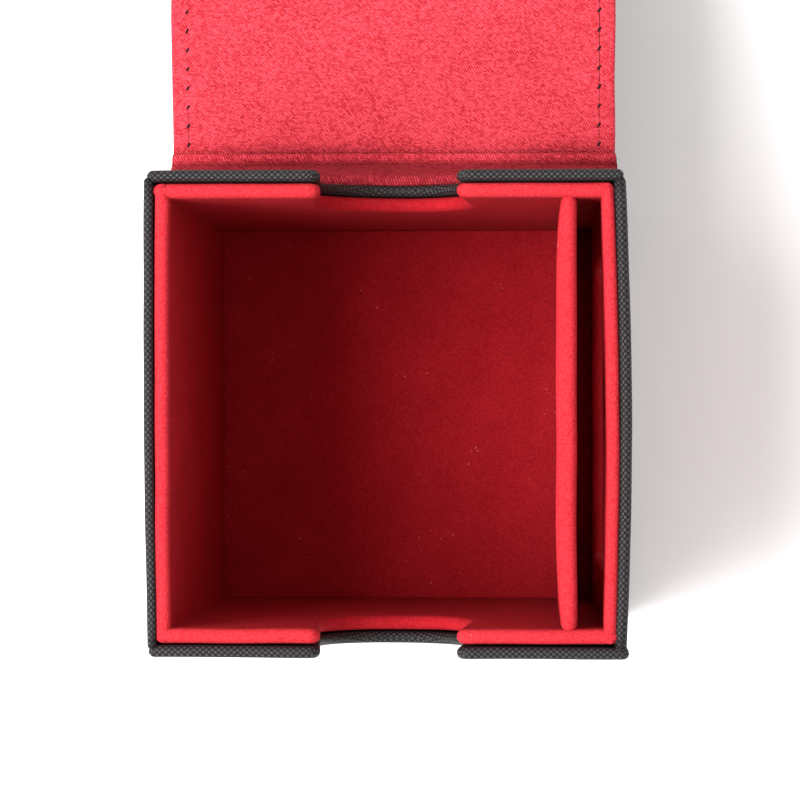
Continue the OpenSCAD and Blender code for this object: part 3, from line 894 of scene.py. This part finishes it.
# %% Sizes and folds of the flap
flap_low, flap_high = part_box("flap_front_leather")
flap_half = flap_high.x
skin_t = flap_high.z - flap_low.z
flap_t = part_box("flap_front_lining")[1].z - flap_low.z
fold_gap, free_corner_r, edge_r = 2 * MM, 6 * MM, 0.7 * MM
sewn_off = -0.9 * MM
back_rise = math.radians(90 - joints["wall_fold"]["range_deg"][1])
top_slope = math.radians(90 - joints["front_fold"]["range_deg"][1])
top_pivot = Vector(joints["top_fold"]["pos_m"]).yz
front_pivot = Vector(joints["front_fold"]["pos_m"]).yz
glue_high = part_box("flap_anchor_leather")[1]


def toward(angle):
    """The direction at an angle above +Y."""
    return Vector((math.cos(angle), math.sin(angle)))


def left_of(direction):
    """The lining's side of a direction."""
    return Vector((-direction.y, direction.x))


top_len = (front_pivot - top_pivot).length
closed_z = rim + 0.3 * MM + flap_t / 2
strip_len = 9 * MM
back_len = closed_z - glue_high.z - strip_len
back_start = top_pivot - back_len * toward(back_rise)
front_len = flap_high.y - front_pivot.x
glue_top = Vector((half_depth + skin_t, glue_high.z))
roll = 0.75 * MM
fall = math.radians(-61)
roll_far = glue_top + Vector((1.35 * roll, 1.15 * roll))
to_start = back_start - roll_far


def crossed(a, b):
    """The cross product of two directions in a plane."""
    return a.x * b.y - a.y * b.x


valley = roll_far + toward(fall) * crossed(to_start, toward(back_rise)) / crossed(
    toward(fall), toward(back_rise)) + Vector((-0.1, -1.5)) * MM
fold_lines = {
    "wall": [glue_top, glue_top + Vector((0, 1.15 * roll)), roll_far, valley,
             back_start - 0.9 * MM * toward(back_rise), back_start],
    "top": [top_pivot - fold_gap * toward(back_rise), top_pivot,
            top_pivot + fold_gap * toward(-top_slope)],
    "front": [front_pivot - fold_gap * toward(-top_slope), front_pivot,
              front_pivot + fold_gap * toward(0)],
}


def smooth_line(points, passes=4):
    """Cuts a chain's corners, and keeps its ends and their directions."""
    for _ in range(passes):
        cut = [points[0]]
        for a, b in zip(points, points[1:]):
            cut += [a.lerp(b, 0.25), a.lerp(b, 0.75)]
        points = cut + [points[-1]]
    return points


def along_line(points, share):
    """The place and direction at a share of a line's length."""
    steps = [(b - a).length for a, b in zip(points, points[1:])]
    left = share * sum(steps)
    for (a, b), step in zip(zip(points, points[1:]), steps):
        if left <= step or b is points[-1]:
            return a.lerp(b, min(1.0, left / step)), (b - a).normalized()
        left -= step


print("panels:", *(round(length / MM, 1) for length in (back_len, top_len, front_len)), "mm long")

# %% [markdown]
# ## The flap's panels
# A panel is a board with leather under it and red cloth over it, and the cloth turns down over
# the board's sides. Each skin is a shell: its outline is made too long, raised with a rounded edge,
# and cut off square where the folds begin, so that the folds' own cloth carries straight on from
# it. It is then given its thickness, and the leather is turned over to lie underneath.

# %% Helper: one skin of a panel
Panel = namedtuple("Panel", "fold angle start end free run")
FLAP_SKINS = (("lining", twill, "twill"), ("leather", leather, "leather"))
spare, fade_reach = 6 * MM, 8 * MM


def panel_place(panel):
    """The matrix that lays a flat piece in its panel."""
    return (Matrix.Translation((sewn_off, panel.fold.x, panel.fold.y))
            @ Matrix.Rotation(panel.angle, 4, "X"))


def panel_skin(name, panel, kind, material, slot):
    """The lining or the leather of a panel. A panel has its fold point, angle, start and end,
    whether its end is free, and the cloth's run up to its fold point."""
    start, end, free, run = panel.start, panel.end, panel.free, panel.run
    lining = kind == "lining"
    far = end if free else end + spare
    rounds = [(flap_half, end, free_corner_r, 8)] if free else []
    bm = outline(flap_half, start - spare, far, rounds=rounds)
    if lining:
        raise_edge(bm, edge_r, 4, flap_t - skin_t - edge_r)
    else:
        raise_edge(bm, skin_t * 0.7, 3, skin_t * 0.3)
    slice_at(bm, 1, start, clear_inner=True)
    if not free:
        slice_at(bm, 1, end, clear_outer=True)
    slice_evenly(bm, -flap_half, flap_half, start, end, 3.5 * MM)
    peak = max(v.co.z for v in bm.verts)
    bm.normal_update()

    def unrolled(vert):
        """The cloth's place, with the sides laid flat."""
        outward = Vector((vert.normal.x, vert.normal.y))
        outward = outward.normalized() if outward.length > 1e-3 else outward
        return vert.co.xy + outward * (peak - vert.co.z) + Vector((0, run))

    lay_cloth(bm, unrolled)
    for vert in bm.verts:
        fade = min(1.0, (vert.co.y - start) / fade_reach)
        fade = min(fade, 1.0 if free else (end - vert.co.y) / fade_reach)
        if vert.co.z > 0.6 * peak:
            vert.co.z += 0.22 * MM * fade * soft_noise(vert.co, 17 * MM, run / MM)
        vert.co.x += 0.18 * MM * fade * soft_noise(vert.co, 11 * MM, 7.0 + run / MM)
    bmesh.ops.solidify(bm, geom=bm.faces[:], thickness=skin_t if lining else 0.6 * skin_t)
    if not lining:
        bmesh.ops.scale(bm, vec=(1, 1, -1), verts=bm.verts)
    bmesh.ops.recalc_face_normals(bm, faces=bm.faces)
    bmesh.ops.translate(bm, vec=(0, 0, -flap_t / 2 + skin_t), verts=bm.verts)
    bmesh.ops.transform(bm, verts=bm.verts, matrix=panel_place(panel))
    finish_piece(bm, f"{name}_{kind}_skin", material, f"{name}_{kind}", name)


print("panel helpers ready")


# %% Cover the three panels
top_run = strip_len + back_len
front_run = top_run + top_len
panels = {
    "flap_back": Panel(back_start, back_rise, 0.0, back_len - fold_gap, False, strip_len),
    "flap_top": Panel(top_pivot, -top_slope, fold_gap, top_len - fold_gap, False, top_run),
    "flap_front": Panel(front_pivot, 0.0, fold_gap, front_len, True, front_run),
}
for name, panel in panels.items():
    for skin in FLAP_SKINS:
        panel_skin(name, panel, *skin)

# %% Board the panels
board_inset, board_t = 1.2 * MM, flap_t - 2 * skin_t - 0.1 * MM
for name, panel in panels.items():
    half, far = flap_half - board_inset, panel.end - board_inset
    rounds = [(half, far, free_corner_r - board_inset, 8)] if panel.free else []
    stiff = closed_sheet(half, panel.start + board_inset, far, board_t, board_edge, rounds=rounds,
                         pitch=3 * bend_pitch)
    bmesh.ops.transform(stiff, verts=stiff.verts, matrix=panel_place(panel))
    finish_piece(stiff, f"{name}_stiffener", board, f"{name}_board", name)

# %% [markdown]
# ## The folds
# Between panels there is no board: leather and cloth are glued together, and they dip between
# the boards' edges. Each layer is a flat grid laid along the fold's line and given its thickness.
# The fold at the wall rolls over its glued edge, falls, and turns level in a valley. Each fold
# is laid once, in place, and is tied to no body.

# %% Helper: cloth laid along a fold
def fold_layer(line, lining, lift_start, lift_end, run, crumple, seed, columns=60, rows=40):
    """One layer of a fold. Its face lies at the lifts at the two ends and dips to the glued
    thickness between them. It gets its thickness while it is flat, so it can't fold over."""
    points = smooth_line(line)
    length = sum((b - a).length for a, b in zip(points, points[1:]))
    way = 1 if lining else -1
    bm = bmesh.new()
    bmesh.ops.create_grid(bm, x_segments=columns, y_segments=rows, size=0.5)
    lay_cloth(bm, lambda vert: (vert.co.x * 2 * flap_half, (vert.co.y + 0.5) * length + run))
    bmesh.ops.solidify(bm, geom=bm.faces[:], thickness=0.1)
    depths = [v.co.z for v in bm.verts]
    lowest, deepest = min(depths), max(depths) - min(depths)
    for vert in bm.verts:
        share = min(1.0, max(0.0, vert.co.y + 0.5))
        place, direction = along_line(points, share)
        dip = math.sin(math.pi * share) ** 0.5 if 0 < share < 1 else 0.0
        across = vert.co.x * 2 * flap_half * (1 + 0.012 * dip * (crumple > 0.15 * MM))
        ends = lift_start + (lift_end - lift_start) * share
        lift = ends + (skin_t - ends) * dip
        lift -= 0.95 * skin_t * (1 - (vert.co.z - lowest) / deepest)
        wave = crumple * dip * soft_noise((across, share * length * 1.5, 0), 12 * MM, seed)
        place = place + (way * lift + wave) * left_of(direction)
        vert.co = Vector((across + sewn_off, place.x, place.y))
    bmesh.ops.recalc_face_normals(bm, faces=bm.faces)
    return bm


def blend_fold(piece):
    """Bakes a fold piece's placement into its mesh. The piece follows no body."""
    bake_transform(piece)


print("fold helpers ready")

# %% Lay the folds
fold_runs = {"wall": 0.0, "top": top_run - fold_gap, "front": front_run - fold_gap}
for seed, (name, line) in enumerate(fold_lines.items()):
    start_lift, crumple = (skin_t, 0.22 * MM) if name == "wall" else (flap_t / 2, 0.04 * MM)
    for kind, material, slot in FLAP_SKINS:
        bm = fold_layer(line, kind == "lining", start_lift, flap_t / 2, fold_runs[name], crumple,
                        31.0 + seed)
        piece = finish_piece(bm, f"{name}_fold_{kind}", material, f"{name}_crease_{kind}")
        blend_fold(piece)

# %% [markdown]
# ## The glued strip
# Below the fold both layers run down the back wall and are glued to it.

# %% Glue the strip
strip_half = flap_half - 0.5 * MM
for kind, material, slot in FLAP_SKINS:
    low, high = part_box(f"flap_anchor_{kind}")
    thick = high.y - low.y
    strip = outline(strip_half, low.z, high.z)
    raise_edge(strip, thick * 0.4, 2, thick * 0.5)
    slice_evenly(strip, -strip_half, strip_half, low.z, high.z, bend_pitch)
    lay_cloth(strip, lambda vert: (-vert.co.x, vert.co.y - high.z))
    bmesh.ops.holes_fill(strip, edges=[e for e in strip.edges if e.is_boundary], sides=0)
    bmesh.ops.recalc_face_normals(strip, faces=strip.faces)
    bmesh.ops.transform(strip, matrix=stood("back", (sewn_off, low.y, 0)), verts=strip.verts)
    finish_piece(strip, f"glued_{kind}", material, f"flap_anchor_{kind}", "box")

# %% [markdown]
# ## The flap's stitches
# A dark seam runs along the flap's sides and round its free edge, through both skins, so it shows
# above and below.

# %% Sew the flap
stitch_in, flap_pitch = 3.1 * MM, 3.66 * MM
tick_length, tick_width, tick_slant = 1.25 * MM, 0.55 * MM, math.radians(32)
float_width, float_rise = 0.11 * MM, 0.05 * MM
sink = 0.04 * MM
for name, panel in panels.items():
    seam = bmesh.new()
    x = flap_half - stitch_in
    stop = panel.end - free_corner_r if panel.free else panel.end
    lines = [(Vector((s * x, panel.start, 0)), Vector((s * x, stop, 0))) for s in (-1, 1)]
    if panel.free:
        y = panel.end - stitch_in
        lines.append((Vector((-x + free_corner_r - stitch_in, y, 0)),
                      Vector((x - free_corner_r + stitch_in, y, 0))))
    for a, b in lines:
        for place, along in stitch_line(a, b, flap_pitch):
            for way in (1, -1):
                up = Vector((0, 0, way))
                spot = place + up * (flap_t / 2 - sink)
                add_stitch(seam, spot, along, up, tick_length, tick_width, -way * tick_slant)
                add_stitch(seam, spot + along * flap_pitch / 2 + up * float_rise, along, up,
                           flap_pitch, float_width)
    bmesh.ops.transform(seam, verts=seam.verts, matrix=panel_place(panel))
    finish_piece(seam, f"{name}_stitches", dark_thread, f"{name}_thread", name)

# %% [markdown]
# ## Hidden parts
# The boards and magnets are inside their skins. They keep their exact shapes, and get the look
# of book board and of plated steel for anyone who takes the skins off.

# %% Finish the hidden parts
for name, node in frame["nodes"].items():
    finish = plate if name.endswith("magnets") else board
    node.data.materials.clear()
    node.data.materials.append(finish)
print("hidden parts finished:", len(frame["nodes"]))

# %% Print both boxes and finish
model_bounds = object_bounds()
for title, corners in (("cad", cad_bounds), ("visual", model_bounds)):
    print(title, [round(v / MM, 2) for corner in corners for v in corner])
